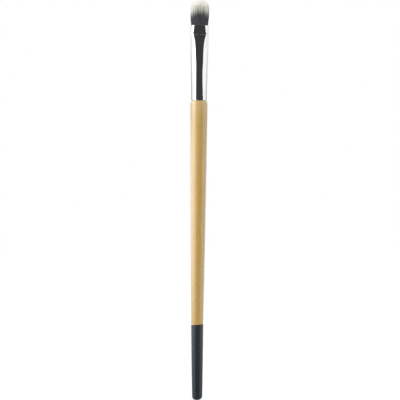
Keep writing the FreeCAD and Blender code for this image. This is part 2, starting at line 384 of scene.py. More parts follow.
def handling_marks():
    """A group for marks of use: soft smudges, and fine scratches in two directions."""
    name = "Handling marks"
    if name in bpy.data.node_groups:
        return bpy.data.node_groups[name]
    inputs = [("Vector", "NodeSocketVector"), ("Size", "NodeSocketFloat")]
    tree, given, result = new_group(name, inputs, ["Smudges", "Scratches"])
    size = given.outputs["Size"]
    vector = vector_math(tree, "SCALE", {0: given.outputs["Vector"], "Scale": size})
    smudges = remap(tree, noise(tree, vector, 0.35, detail=4.0, roughness=0.6), 0.42, 0.72)
    lines = []
    for turn, stretch in ((0.35, (14.0, 14.0, 0.5)), (-0.9, (11.0, 11.0, 0.4))):
        slanted = {"Vector": vector, "Rotation": (turn, turn * 0.6, 0.0), "Scale": stretch}
        mapped = put(tree, "ShaderNodeMapping", slanted).outputs[0]
        lines.append(remap(tree, noise(tree, mapped, 1.0, detail=1.0), 0.70, 0.76))
    scratches = calculate(tree, "MAXIMUM", lines[0], lines[1])
    tree.links.new(smudges, result.inputs["Smudges"])
    tree.links.new(scratches, result.inputs["Scratches"])
    return tree


def use_group(tree, group, **inputs):
    return put(tree, "ShaderNodeGroup", inputs, node_tree=group)


def new_material(name):
    """A material with its node tree and its shader."""
    material = bpy.data.materials.new(name)
    material.use_nodes = True
    return material, material.node_tree, material.node_tree.nodes["Principled BSDF"]


def feed(tree, shader, **inputs):
    """Sets the shader's inputs, written with _ for a space; a socket is linked and a value is set."""
    for name, value in inputs.items():
        plug(tree, shader.inputs[name.replace("_", " ")], value)


def bump(tree, height, depth):
    """A normal from a height between 0 and 1 that stands for a depth in metres."""
    return put(tree, "ShaderNodeBump", {"Height": height, "Distance": depth, "Strength": 1.0}).outputs[0]


# Materials


def bamboo_material(sizes):
    """Bamboo under clear lacquer: broad streaks, fine fibres, dark dashes, and a painted highlight that makes
    the wood paler just under the ferrule.
    """
    material, tree, shader = new_material("lacquered_bamboo")
    place = millimetres(tree)
    broad = use_group(tree, lengthwise_fibres(), Vector=place, Across=0.55, Along=0.012)
    fine = use_group(tree, lengthwise_fibres(), Vector=place, Across=2.6, Along=0.05)
    marks = use_group(tree, handling_marks(), Vector=place, Size=0.8)
    broad_share = times(tree, broad.outputs["Streaks"], 0.6)
    fine_share = times(tree, fine.outputs["Streaks"], 0.4)
    tone = calculate(tree, "ADD", broad_share, fine_share)
    base = mix_colours(tree, remap(tree, tone, 0.36, 0.62), opaque(sizes.middle), opaque(sizes.pale))
    dashes = times(tree, fine.outputs["Dashes"], 0.4)
    base = mix_colours(tree, dashes, base, opaque(sizes.dark))
    height = height_of(tree, place)
    # Painted highlight: the wood turns paler over its top 8 mm, up to the ferrule
    top = FERRULE_FOOT / MM
    painted_highlight = remap(tree, height, top - 8.0, top - 1.2, 0.0, 0.12)
    base = mix_colours(tree, painted_highlight, base, opaque(sizes.shoulder_highlight_tone))
    roughness = remap(tree, marks.outputs["Smudges"], 0.0, 1.0, 0.25, 0.32)
    relief = calculate(tree, "SUBTRACT", fine.outputs["Streaks"], dashes)
    feed(
        tree,
        shader,
        Base_Color=base,
        Roughness=roughness,
        Specular_IOR_Level=0.7,
        Coat_Weight=1.0,
        Coat_Roughness=0.27,
        Coat_IOR=1.7,
        Normal=bump(tree, relief, 0.00002),
    )
    return material


def lacquer_material(sizes):
    """Glossy blue-black lacquer that thins out along the dip line."""
    material, tree, shader = new_material("dip_lacquer")
    place = millimetres(tree)
    marks = use_group(tree, handling_marks(), Vector=place, Size=1.0)
    deep = opaque(sizes.lacquer)
    bluer = opaque((sizes.lacquer[0], sizes.lacquer[1] * 1.12, sizes.lacquer[2] * 1.25))
    base = mix_colours(tree, remap(tree, noise(tree, place, 0.22, detail=2.0), 0.35, 0.7), deep, bluer)
    line = DIP_LINE / MM
    edge = remap(tree, height_of(tree, place), line - 0.7, line + 0.2, 0.0, 0.7)
    base = mix_colours(tree, edge, base, opaque(sizes.thin))
    roughness = remap(tree, marks.outputs["Smudges"], 0.0, 1.0, 0.22, 0.30)
    peel = noise(tree, place, 0.9, detail=2.0)
    relief = calculate(tree, "SUBTRACT", peel, times(tree, marks.outputs["Scratches"], 0.15))
    skin = bump(tree, relief, 0.000008)
    feed(tree, shader, Base_Color=base, Roughness=roughness, Specular_IOR_Level=0.68, Normal=skin)
    return material


def metal_material(sizes):
    """Polished plating with faint smudges and scratches."""
    material, tree, shader = new_material("polished_plating")
    place = millimetres(tree)
    marks = use_group(tree, handling_marks(), Vector=place, Size=1.0)
    dull = opaque([channel * 0.88 for channel in sizes.metal])
    base = mix_colours(tree, times(tree, marks.outputs["Smudges"], 0.35), opaque(sizes.metal), dull)
    roughness = remap(tree, marks.outputs["Smudges"], 0.0, 1.0, 0.04, 0.09)
    waves = noise(tree, place, 0.5, detail=2.0)
    relief = calculate(tree, "SUBTRACT", waves, times(tree, marks.outputs["Scratches"], 0.2))
    skin = bump(tree, relief, 0.0000006)
    feed(tree, shader, Base_Color=base, Metallic=1.0, Roughness=roughness, Normal=skin)
    return material


def fibre_material(sizes):
    """Fibres are dark at the root and white at the tip; each carries its own tone, and a shade that also
    holds painted shade and painted light.
    """
    material, tree, shader = new_material("two_tone_fibre")
    tone = put(tree, "ShaderNodeAttribute", attribute_name="tone").outputs["Fac"]
    shade = put(tree, "ShaderNodeAttribute", attribute_name="shade").outputs["Fac"]
    streaks = use_group(tree, lengthwise_fibres(), Vector=millimetres(tree), Across=9.0, Along=0.6)
    base = mix_colours(tree, tone, opaque(sizes.dark), opaque(sizes.pale))
    level = calculate(tree, "ADD", shade, remap(tree, streaks.outputs["Streaks"], 0.3, 0.7, -0.05, 0.05))
    grey = put(tree, "ShaderNodeCombineColor", {0: level, 1: level, 2: level}).outputs[0]
    base = mix_colours(tree, 1.0, base, grey, "MULTIPLY")
    roughness = remap(tree, streaks.outputs["Streaks"], 0.2, 0.8, 0.38, 0.55)
    feed(tree, shader, Base_Color=base, Roughness=roughness, Specular_IOR_Level=0.5)
    return material


def glue_material(name, thin, thick, rough):
    """Set glue: cloudy, with a skin that is slightly uneven."""
    material, tree, shader = new_material(name)
    place = millimetres(tree)
    clouds = remap(tree, noise(tree, place, 0.8, detail=4.0), 0.3, 0.7)
    base = mix_colours(tree, clouds, opaque(thin), opaque(thick))
    roughness = remap(tree, clouds, 0.0, 1.0, rough, rough + 0.15)
    feed(tree, shader, Base_Color=base, Roughness=roughness, Normal=bump(tree, clouds, 0.00002))
    return material


def thread_material():
    """Twisted cotton: fine plies and a soft fuzz."""
    material, tree, shader = new_material("cotton_thread")
    place = millimetres(tree)
    plies = use_group(tree, lengthwise_fibres(), Vector=place, Across=3.0, Along=6.0)
    streaks = plies.outputs["Streaks"]
    base = mix_colours(tree, streaks, (0.62, 0.57, 0.46, 1.0), (0.80, 0.76, 0.67, 1.0))
    feed(tree, shader, Base_Color=base, Roughness=0.85, Sheen_Weight=0.3, Normal=bump(tree, streaks, 0.00004))
    return material


# Handle and dip

TAIL_STEPS = 10
BARREL_SPACING = 0.0012
SHOULDER_SPACING = 0.0002
SHOULDER_STEPS = 8
SHOULDER_INSET_SHARE = 0.9
TENON_BEVEL = 0.0004
SWAY_POWER = 1.3
SLANT_HEIGHT = 0.004
DIP_TAIL_STEPS = 12
DIP_SPACING = 0.001
BEAD_SPACING = 0.00006
BEAD_HEIGHT = 0.0006
BEAD_SHORT_OF_LINE = 0.0002
BEAD_ROUND = 0.00003
BEAD_STEPS = 6
WAVE_HEIGHT = 0.004


def wood_radius(sizes, height):
    """Radius of the wood at a height below the ferrule."""
    corner = sizes.tail_round + TAIL_LIFT
    if height < corner:
        drop = (corner - height) / sizes.tail_round
        return sizes.tail_radius - sizes.tail_round + sizes.tail_round * math.sqrt(max(0.0, 1 - drop * drop))
    if height < DIP_LINE:
        part = (height - corner) / (DIP_LINE - corner)
        return blend(sizes.tail_radius, sizes.dip_radius, part) + sizes.tail_bow * 4 * part * (1 - part)
    widest = SHOULDER - sizes.shoulder_length
    if height < widest:
        part = (height - DIP_LINE) / (widest - DIP_LINE)
        return blend(sizes.dip_radius, sizes.barrel_radius, part) + sizes.barrel_bow * 4 * part * (1 - part)
    part = (height - widest) / sizes.shoulder_length
    collar = bpy.context.scene.brush_ferrule.collar_radius
    radius = blend(sizes.barrel_radius, collar, part * part)
    edge = max(0.0, (height - SHOULDER + sizes.shoulder_round) / sizes.shoulder_round)
    inset = sizes.shoulder_round * SHOULDER_INSET_SHARE
    return radius - inset * (1 - math.sqrt(max(0.0, 1 - edge * edge)))


def turned_ring(sizes, height, radius, lift=None):
    """A round ring of the handle at a height; lift raises each point by its angle around the handle."""
    bent = max(0.0, 1 - height / sizes.sway_length) ** SWAY_POWER
    slant = sizes.tail_slant * (1 - smooth_step(0.0, SLANT_HEIGHT, height)) / sizes.tail_radius
    ring = oval_ring(height, radius, radius)
    for point in ring:
        if lift:
            point.z += lift(math.atan2(point.y, point.x))
        point.z += slant * max(0.0, point.x)
        point.x += sizes.tail_sway * bent
    return ring


class BRUSH_OT_handle(bpy.types.Operator):
    """Turn the bamboo handle, with its tenon, and lacquer it"""

    bl_idname = "brush.handle"
    bl_label = "Wooden handle"

    def execute(self, context):
        sizes = context.scene.brush_handle
        corner = sizes.tail_round + TAIL_LIFT
        widest = SHOULDER - sizes.shoulder_length
        heights = []
        for step in range(TAIL_STEPS):
            heights.append(corner - sizes.tail_round * math.cos(math.pi / 2 * step / TAIL_STEPS))
        heights += steps_between(corner, widest, BARREL_SPACING)
        heights += steps_between(widest, SHOULDER - sizes.shoulder_round, SHOULDER_SPACING)[1:]
        for step in range(1, SHOULDER_STEPS + 1):
            heights.append(SHOULDER - sizes.shoulder_round * math.cos(math.pi / 2 * step / SHOULDER_STEPS))
        rings = [turned_ring(sizes, heights[0], CLOSING_RADIUS)]
        rings += [turned_ring(sizes, height, wood_radius(sizes, height)) for height in heights]
        rings.append(turned_ring(sizes, SHOULDER, sizes.tenon_radius))
        rings.append(turned_ring(sizes, TENON_TOP - TENON_BEVEL, sizes.tenon_radius))
        rings.append(turned_ring(sizes, TENON_TOP, sizes.tenon_radius - TENON_BEVEL))
        rings.append(turned_ring(sizes, TENON_TOP, CLOSING_RADIUS))
        piece = loft("bamboo_handle", rings, joined=False)
        piece.data.materials.append(bamboo_material(sizes))
        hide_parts("wooden_handle")
        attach(piece, "handle")
        return {"FINISHED"}


class BRUSH_OT_dip(bpy.types.Operator):
    """Dip the tail in blue-black lacquer, with an uneven beaded edge"""

    bl_idname = "brush.dip"
    bl_label = "Dipped tail"

    def execute(self, context):
        wood = context.scene.brush_handle
        sizes = context.scene.brush_dip
        corner = wood.tail_round + TAIL_LIFT

        def ring(height, skin):
            near = smooth_step(DIP_LINE - WAVE_HEIGHT, DIP_LINE, height)

            def wave(turn):
                """How far the dip line is raised at an angle: one broad wave with ripples on it."""
                broad = 1.0 - 0.7 * math.sin(turn) + 1.3 * math.cos(turn)
                ripple = broad + 0.3 * math.sin(2 * turn + 1.1) + 0.15 * math.sin(5 * turn)
                return near * sizes.wave * ripple

            return turned_ring(wood, height, wood_radius(wood, height) + skin, wave)

        def tail_end(skin):
            bend = wood.tail_round + skin
            rim = wood.tail_radius - wood.tail_round
            rows = [turned_ring(wood, corner - bend, CLOSING_RADIUS)]
            for step in range(DIP_TAIL_STEPS):
                turn = math.pi / 2 * step / DIP_TAIL_STEPS
                rows.append(turned_ring(wood, corner - bend * math.cos(turn), rim + bend * math.sin(turn)))
            return rows

        inner = sizes.gap
        outer = sizes.gap + sizes.thickness
        bead_foot = DIP_LINE - BEAD_HEIGHT
        heights = steps_between(corner, bead_foot, DIP_SPACING)
        heights += steps_between(bead_foot, DIP_LINE - BEAD_ROUND, BEAD_SPACING)[1:]
        rings = tail_end(outer)
        for height in heights:
            swell = sizes.bead * smooth_step(bead_foot, DIP_LINE - BEAD_SHORT_OF_LINE, height)
            rings.append(ring(height, outer + swell))
        for step in range(1, BEAD_STEPS):
            turn = math.pi / 2 * step / BEAD_STEPS
            skin = blend(inner, outer + sizes.bead, math.cos(turn))
            rings.append(ring(DIP_LINE - BEAD_ROUND + BEAD_ROUND * math.sin(turn), skin))
        for height in reversed(heights):
            rings.append(ring(height, inner))
        rings += reversed(tail_end(inner))
        piece = loft("dipped_tail", rings, joined=False)
        piece.data.materials.append(lacquer_material(sizes))
        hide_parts("tail_dip_coat")
        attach(piece, "handle")
        return {"FINISHED"}


# Ferrule

METAL_POINTS = 192
PRESS_POWER = 10
CREASE_BELOW_CRIMP = 0.0002
CREASE_ZONE = 0.00007
CREASE_SPACING = 0.000007
CRIMP_ZONE = 0.0009
CRIMP_SPACING = 0.00007
METAL_SPACING = 0.0003
INSIDE_SPACING = 0.0008
EDGE_MARGIN = 0.00002
EDGE_STEPS = 6


def taper_half_width(sizes, height):
    """Half the width of the tapered metal at a height above its foot."""
    part = min(1.0, max(0.0, height) / sizes.taper_length)
    return blend(sizes.collar_radius, sizes.taper_half_width, part ** sizes.taper_power)


def ferrule_section(sizes, height):
    """Half width, half depth and flatness of the metal's skin at a height above its foot."""
    crimp = MOUTH - FERRULE_FOOT - sizes.crimp_below_mouth
    if height > crimp:
        part = (height - crimp) / sizes.crimp_below_mouth
        half_depth = blend(sizes.crimp_half_depth, sizes.mouth_half_depth, part)
        return sizes.mouth_half_width, half_depth, sizes.flat_power
    half_width = taper_half_width(sizes, height)
    if height > sizes.taper_length:
        part = (height - sizes.taper_length) / (crimp - sizes.taper_length)
        half_width = blend(half_width, sizes.mouth_half_width, part)
    over = min(max(0.0, height - sizes.round_foot), sizes.round_top - sizes.round_foot)
    rounded = min(height, sizes.round_foot) + over - over * over / (2 * (sizes.round_top - sizes.round_foot))
    part = max(0.0, (height - sizes.round_foot) / (crimp - sizes.round_foot))
    pressed = part ** PRESS_POWER * (PRESS_POWER + 1 - PRESS_POWER * part)
    half_depth = blend(taper_half_width(sizes, rounded), sizes.crimp_half_depth, pressed)
    return half_width, half_depth, blend(1.0, sizes.flat_power, pressed)


class BRUSH_OT_ferrule(bpy.types.Operator):
    """Form the polished ferrule: round collar, flattened mouth, crimp and rolled edges"""

    bl_idname = "brush.ferrule"
    bl_label = "Ferrule"

    def execute(self, context):
        sizes = context.scene.brush_ferrule
        tall = MOUTH - FERRULE_FOOT
        crimp = tall - sizes.crimp_below_mouth
        crease = crimp - CREASE_BELOW_CRIMP
        turned = Matrix.Rotation(sizes.twist, 3, "Z")
        foot = sizes.foot_edge
        lip = sizes.mouth_edge

        def ring(height, inset):
            half_width, half_depth, power = ferrule_section(sizes, height)
            groove = sizes.dent_depth * math.exp(-(((height - crimp) / sizes.dent_width * 2) ** 2))
            groove += sizes.crease_depth * math.exp(-(((height - crease) / sizes.crease_width * 2) ** 2))
            inset = inset + (groove if inset < lip else 0.0)
            height += FERRULE_FOOT
            points = oval_ring(height, half_width - inset, half_depth - inset, power, METAL_POINTS)
            dip = sizes.mouth_dip * smooth_step(FERRULE_FOOT + crimp, MOUTH, height)
            for point in points:
                point.z -= dip * (point.x / half_width) ** 2
            return [turned @ point for point in points]

        outside = [foot] + steps_between(foot + EDGE_MARGIN, crimp - CRIMP_ZONE, METAL_SPACING)
        outside += steps_between(crimp - CRIMP_ZONE, crease - CREASE_ZONE, CRIMP_SPACING)[1:]
        outside += steps_between(crease - CREASE_ZONE, crease + CREASE_ZONE, CREASE_SPACING)[1:]
        outside += steps_between(crease + CREASE_ZONE, crimp + CRIMP_ZONE, CRIMP_SPACING)[1:]
        outside += steps_between(crimp + CRIMP_ZONE, tall - lip - EDGE_MARGIN, METAL_SPACING)[1:]
        outside.append(tall - lip)
        quarter = [math.pi / 2 * step / EDGE_STEPS for step in range(EDGE_STEPS + 1)]
        rings = [ring(height, 0.0) for height in outside]
        for turn in quarter[1:]:
            rings.append(ring(tall - lip + lip * math.sin(turn), lip - lip * math.cos(turn)))
        for turn in quarter:
            rings.append(ring(tall - lip + lip * math.cos(turn), sizes.wall - lip + lip * math.sin(turn)))
        for height in steps_between(tall - lip, foot, INSIDE_SPACING)[1:]:
            rings.append(ring(height, sizes.wall))
        for turn in quarter[1:]:
            rings.append(ring(foot - foot * math.sin(turn), sizes.wall - foot + foot * math.cos(turn)))
        for turn in quarter[:-1]:
            rings.append(ring(foot - foot * math.cos(turn), foot - foot * math.sin(turn)))
        piece = loft("polished_ferrule", rings, joined=True)
        piece.data.materials.append(metal_material(sizes))
        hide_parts("ferrule")
        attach(piece, "handle")
        return {"FINISHED"}


# Hair

LAYERS = 4
FIBRE_STEPS = 8
ROOT_DEPTH = 0.0012
SPREAD_HEIGHT = 0.0018
OUTER_SHARE = 0.55
OUTER_REACH = 0.985
INNER_REACH = 0.72
LOCK_REACH = 0.94
LOCK_RING_SHARE = 0.9
LOCK_WIDTH_SHARE = 0.9
LOCK_SHIFT = 0.18
LOCK_GATHER = 0.28
LOCK_GATHER_FOOT = 0.0015
LOCK_TONE_MM = 0.3
LOCK_EDGE_SHORTER = 0.0002
FIBRE_TONE_MM = 0.25
FIBRE_SHADE = 0.09
FIBRE_BOW_MM = 0.04
FIBRE_BOW_FOOT = 0.1
FIBRE_BOW_HEIGHT = 0.002
FIBRE_TAPER = 0.82
FIBRE_TAPER_FOOT = 0.45
TIP_SHORTER = 0.3
TIP_OUTSIDE_UNEVEN = 1.2
TIP_CLOSE_IN = 0.05
TIP_CLOSE_BELOW_DOME = 0.002
LEFT_DYE_ZONE = (0.2, 0.8)
RIGHT_DYE_ZONE = (0.3, 0.9)
# Painted shade between the middle locks, and painted light on the sides of the tuft
PAINTED_PARTING_SHADE = 0.25
PARTING_PLACE = 0.05
PARTING_WIDTH = 0.07
PAINTED_SIDE_LIGHT = 0.09
CORE_POINTS = 96
CORE_FOOT_SHARE = 0.97
CORE_SHARE = 0.84
CORE_DOME_SHARE = 0.82
CORE_DOME_STEPS = 10
CORE_DOME_OPEN = 0.3
CORE_BELOW_MOUTH = 0.0002
CORE_SPACING = 0.0004
CORE_SLIM_HEIGHT = 0.003
CORE_SHADE = 0.8
ROOT_STRAIGHT = 0.0042


def tuft_half_sizes(rise):
    """Half width and half depth of the tuft's side at a height above the mouth, without its domed end."""
    hair = bpy.context.scene.brush_hair
    metal = bpy.context.scene.brush_ferrule
    inset = metal.wall + HAIR_GAP
    part = min(1.0, max(0.0, rise / (HAIR_TOP - MOUTH - hair.dome)))
    spread = hair.spread * smooth_step(0.0, SPREAD_HEIGHT, rise)
    half_width = blend(metal.mouth_half_width - inset, hair.half_width, part) + spread
    return half_width, blend(metal.mouth_half_depth - inset, hair.half_depth, part) + spread


def lock_centres(around, chance):
    """Places of the locks in the unit circle: an outer ring, and fewer in each ring inside it."""
    places = []
    reach = LOCK_REACH
    spacing = 2 * math.pi * reach / around
    while reach > 0.1:
        count = max(3, round(2 * math.pi * reach / spacing))
        start = chance.uniform(0.0, 2 * math.pi)
        for step in range(count):
            turn = start + 2 * math.pi * (step + chance.uniform(-LOCK_SHIFT, LOCK_SHIFT)) / count
            places.append(Vector((reach * math.cos(turn), reach * math.sin(turn))))
        reach -= spacing * LOCK_RING_SHARE
    return places


class FibreMesh:
    """Collects fibres as tapered tubes with four sides, and the tone and shade of each point; the shade also
    holds painted shade and painted light.
    """

    sides = 4

    def __init__(self, cells):
        self.points = []
        self.faces = []
        self.uvs = []
        self.tones = []
        self.shades = []
        self.columns = math.ceil(math.sqrt(cells * 4))
        self.rows = math.ceil(cells / self.columns)
        self.used = 0

    def add(self, line, radii, tones, shade, twist):
        """One fibre along the points of line."""
        first = len(self.points)
        for place, radius, tone in zip(line, radii, tones):
            for side in range(self.sides):
                turn = twist + 2 * math.pi * side / self.sides
                x = place.x + radius * math.cos(turn)
                y = place.y + radius * math.sin(turn)
                self.points.append((x, y, place.z))
                self.tones.append(tone)
                self.shades.append(shade)
        left = (self.used % self.columns) / self.columns
        bottom = (self.used // self.columns) / self.rows
        wide = 0.9 / self.columns / self.sides
        tall = 0.95 / self.rows / (len(line) - 1)
        for step in range(len(line) - 1):
            for side in range(self.sides):
                after = (side + 1) % self.sides
                low = first + step * self.sides
                high = low + self.sides
                self.faces.append((low + side, low + after, high + after, high + side))
                near = left + side * wide
                far = near + wide
                foot = bottom + step * tall
                head = foot + tall
                self.uvs += [(near, foot), (far, foot), (far, head), (near, head)]
        last = first + (len(line) - 1) * self.sides
        self.faces.append(tuple(first + side for side in reversed(range(self.sides))))
        self.faces.append(tuple(last + side for side in range(self.sides)))
        self.uvs += [(left, bottom)] * self.sides
        self.uvs += [(left, bottom + tall * (len(line) - 1))] * self.sides
        self.used += 1

    def piece(self, name):
        """All the fibres as one object."""
        mesh = bpy.data.meshes.new(name)
        mesh.from_pydata(self.points, [], self.faces)
        uv_map = mesh.uv_layers.new(name=UV_NAME)
        uv_map.data.foreach_set("uv", [value for pair in self.uvs for value in pair])
        for label, values in (("tone", self.tones), ("shade", self.shades)):
            mesh.attributes.new(label, "FLOAT", "POINT").data.foreach_set("value", values)
        mesh.polygons.foreach_set("use_smooth", [True] * len(mesh.polygons))
        return link_piece(name, mesh)


class BRUSH_OT_hair(bpy.types.Operator):
    """Grow the tuft: fibres gathered in locks, dark at the root and white at the tip"""

    bl_idname = "brush.hair"
    bl_label = "Tuft"

    def execute(self, context):
        hair = context.scene.brush_hair
        chance = random.Random(hair.seed)
        material = fibre_material(hair)
        locks = lock_centres(hair.locks, chance)
        lifts = [chance.gauss(0.0, LOCK_TONE_MM) * MM for lock in locks]
        bundles = [FibreMesh(hair.fibres // LAYERS + 1) for layer in range(LAYERS)]
        for count in range(hair.fibres):
            self.grow(hair, chance, locks, lifts, bundles[count % LAYERS])
        for layer, bundle in enumerate(bundles):
            piece = bundle.piece(f"tuft_fibres_{layer + 1}")
            piece.data.materials.append(material)
            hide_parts("white_tip_fibres" if layer % 2 else "dark_base_fibres")
            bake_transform(piece)
        self.core(hair, material)
        return {"FINISHED"}

    def grow(self, hair, chance, locks, lifts, bundle):
        """Adds one fibre at a random place, which leans towards the middle of the lock nearest to it."""
        tall = HAIR_TOP - MOUTH
        dome_foot = tall - hair.dome
        outer = chance.random() < OUTER_SHARE
        low, high = (INNER_REACH, OUTER_REACH) if outer else (0.0, INNER_REACH)
        reach = math.sqrt(chance.uniform(low, high))
        turn = chance.uniform(0.0, 2 * math.pi)
        place = Vector((reach * math.cos(turn), reach * math.sin(turn)))
        nearest = min(range(len(locks)), key=lambda lock: (locks[lock] - place).length)
        lock_reach = LOCK_WIDTH_SHARE * math.pi / hair.locks
        aside = min(1.0, (locks[nearest] - place).length / lock_reach)

        # Where the fibre ends, and where it turns from dark to white
        tip = dome_foot + hair.dome * math.sqrt(max(0.0, 1 - reach * reach))
        uneven = hair.fringe * (1 + TIP_OUTSIDE_UNEVEN * reach ** 4)
        tip = min(tall, tip + chance.gauss(-TIP_SHORTER, 1.0) * uneven) - LOCK_EDGE_SHORTER * aside
        # The white starts lower at the left and right sides: partly dye, partly painted light on the sides of
        # the tuft
        left_drop = hair.dye_and_light_left_drop * smooth_step(*LEFT_DYE_ZONE, -place.x)
        right_drop = hair.dye_and_light_right_drop * smooth_step(*RIGHT_DYE_ZONE, place.x)
        dye = hair.dye_top - hair.dye_drop * aside
        dye -= left_drop + right_drop
        dye += lifts[nearest] + chance.gauss(0.0, FIBRE_TONE_MM) * MM
        bow = Vector((chance.gauss(0.0, FIBRE_BOW_MM), chance.gauss(0.0, FIBRE_BOW_MM))) * MM

        line = []
        radii = []
        tones = []
        for step in range(FIBRE_STEPS + 1):
            along = step / FIBRE_STEPS
            rise = blend(-ROOT_DEPTH, tip, along)
            half_width, half_depth = tuft_half_sizes(rise)
            gather = LOCK_GATHER * smooth_step(LOCK_GATHER_FOOT, tall, rise)
            spot = place.lerp(locks[nearest], gather)
            close = 1.0 - TIP_CLOSE_IN * smooth_step(dome_foot - TIP_CLOSE_BELOW_DOME, tall, rise)
            sway = math.sin(math.pi * max(0.0, along - FIBRE_BOW_FOOT))
            sway *= smooth_step(0.0, FIBRE_BOW_HEIGHT, rise)
            x = half_width * spot.x * close + bow.x * sway + hair.lean * smooth_step(0.0, tall, rise)
            y = half_depth * spot.y * close + bow.y * sway
            line.append(Vector((x, y, MOUTH + rise)))
            slimmer = 1.0 - FIBRE_TAPER * smooth_step(FIBRE_TAPER_FOOT, 1.0, along)
            radii.append(hair.fibre_radius * slimmer)
            tones.append(smooth_step(dye, dye + hair.dye_fade, rise))

        # Painted shade in the gap between locks near the middle, and painted light that makes the fibres at
        # the sides lighter
        parting = PAINTED_PARTING_SHADE * math.exp(-(((place.x - PARTING_PLACE) / PARTING_WIDTH) ** 2))
        shade = 1.0 + chance.gauss(0.0, FIBRE_SHADE) - parting + PAINTED_SIDE_LIGHT * place.x * place.x
        bundle.add(line, radii, tones, shade, chance.uniform(0.0, math.pi))

    def core(self, hair, material):
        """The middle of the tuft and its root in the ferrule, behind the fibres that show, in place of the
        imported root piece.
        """
        metal = bpy.context.scene.brush_ferrule
        tall = HAIR_TOP - MOUTH
        dome_foot = tall - hair.dome
        crimp = MOUTH - metal.crimp_below_mouth
        inset = metal.wall + HAIR_GAP

        def ring(height, half_width, half_depth, power=1.0):
            return oval_ring(height, half_width, half_depth, power, CORE_POINTS)

        rings = [ring(ROOT_FOOT, CLOSING_RADIUS, CLOSING_RADIUS)]
        rings.append(ring(ROOT_FOOT, ROOT_RADIUS, ROOT_RADIUS))
        rings.append(ring(ROOT_FOOT + ROOT_STRAIGHT, ROOT_RADIUS, ROOT_RADIUS))
        pressed = (metal.mouth_half_width - inset, metal.crimp_half_depth - inset)
        rings.append(ring(crimp, *pressed, metal.flat_power))
        for rise in steps_between(-CORE_BELOW_MOUTH, dome_foot, CORE_SPACING):
            half_width, half_depth = tuft_half_sizes(rise)
            slim = blend(CORE_FOOT_SHARE, CORE_SHARE, smooth_step(0.0, CORE_SLIM_HEIGHT, rise))
            rings.append(ring(MOUTH + rise, half_width * slim, half_depth * slim))
        half_width, half_depth = tuft_half_sizes(dome_foot)
        for step in range(1, CORE_DOME_STEPS + 1):
            turn = math.pi / 2 * step / (CORE_DOME_STEPS + CORE_DOME_OPEN)
            slim = CORE_SHARE * math.cos(turn)
            height = MOUTH + dome_foot + hair.dome * CORE_DOME_SHARE * math.sin(turn)
            rings.append(ring(height, half_width * slim, half_depth * slim))
        piece = loft("tuft_core", rings, joined=False)
        rises = [point.co.z - MOUTH for point in piece.data.vertices]
        tones = [smooth_step(hair.dye_top, hair.dye_top + hair.dye_fade, rise) for rise in rises]
        shades = [CORE_SHADE] * len(tones)
        piece.data.attributes.new("tone", "FLOAT", "POINT").data.foreach_set("value", tones)
        piece.data.attributes.new("shade", "FLOAT", "POINT").data.foreach_set("value", shades)
        piece.data.materials.append(material)
        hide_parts("fibre_roots")
        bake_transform(piece)


class BRUSH_OT_inner_pieces(bpy.types.Operator):
    """Finish the pieces hidden in the ferrule: glue film, epoxy plug and thread"""

    bl_idname = "brush.inner_pieces"
    bl_label = "Inner pieces"

    def execute(self, context):
        finishes = {
            "tenon_glue_film": glue_material("wood_glue", (0.55, 0.40, 0.18), (0.70, 0.58, 0.34), 0.55),
            "root_glue_plug": glue_material("amber_epoxy", (0.30, 0.13, 0.02), (0.48, 0.26, 0.06), 0.15),
            "root_tie_thread": thread_material(),
        }
        for node, material in finishes.items():
            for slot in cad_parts[node].material_slots:
                slot.material = material
        return {"FINISHED"}


# Stage

FLOOR_HALF = 4.0
FLOOR_WHITE = 1.03
CARD_LEVEL = 0.042
CARD_LEFT = -0.058
CARD_RIGHT = 0.068
CARD_TOP = MOUTH + 0.15
LIP_LEVEL = 0.88
OUTLINE_FADE_PER_METRE = 16.0
OUTLINE_FADE_TOP = 0.012
OUTLINE_MOUTH_LOSS = 0.5
OUTLINE_MOUTH_TOP = 0.032
OUTLINE_MIDDLE = 138
OUTLINE_REACH = 30


def plate(name, points, faces=None):
    """A stage plate: one face between all its points, or the faces given."""
    mesh = bpy.data.meshes.new(name)
    mesh.from_pydata(points, [], faces or [tuple(range(len(points)))])
    piece = link_piece(name, mesh)
    return piece


def seen_directly(tree):
    """1 for rays from the camera, or that metal and glass send on; 0 for light that falls on things."""
    path = put(tree, "ShaderNodeLightPath")
    mirror = calculate(tree, "MAXIMUM", path.outputs["Is Glossy Ray"], path.outputs["Is Transmission Ray"])
    return calculate(tree, "MAXIMUM", path.outputs["Is Camera Ray"], mirror)


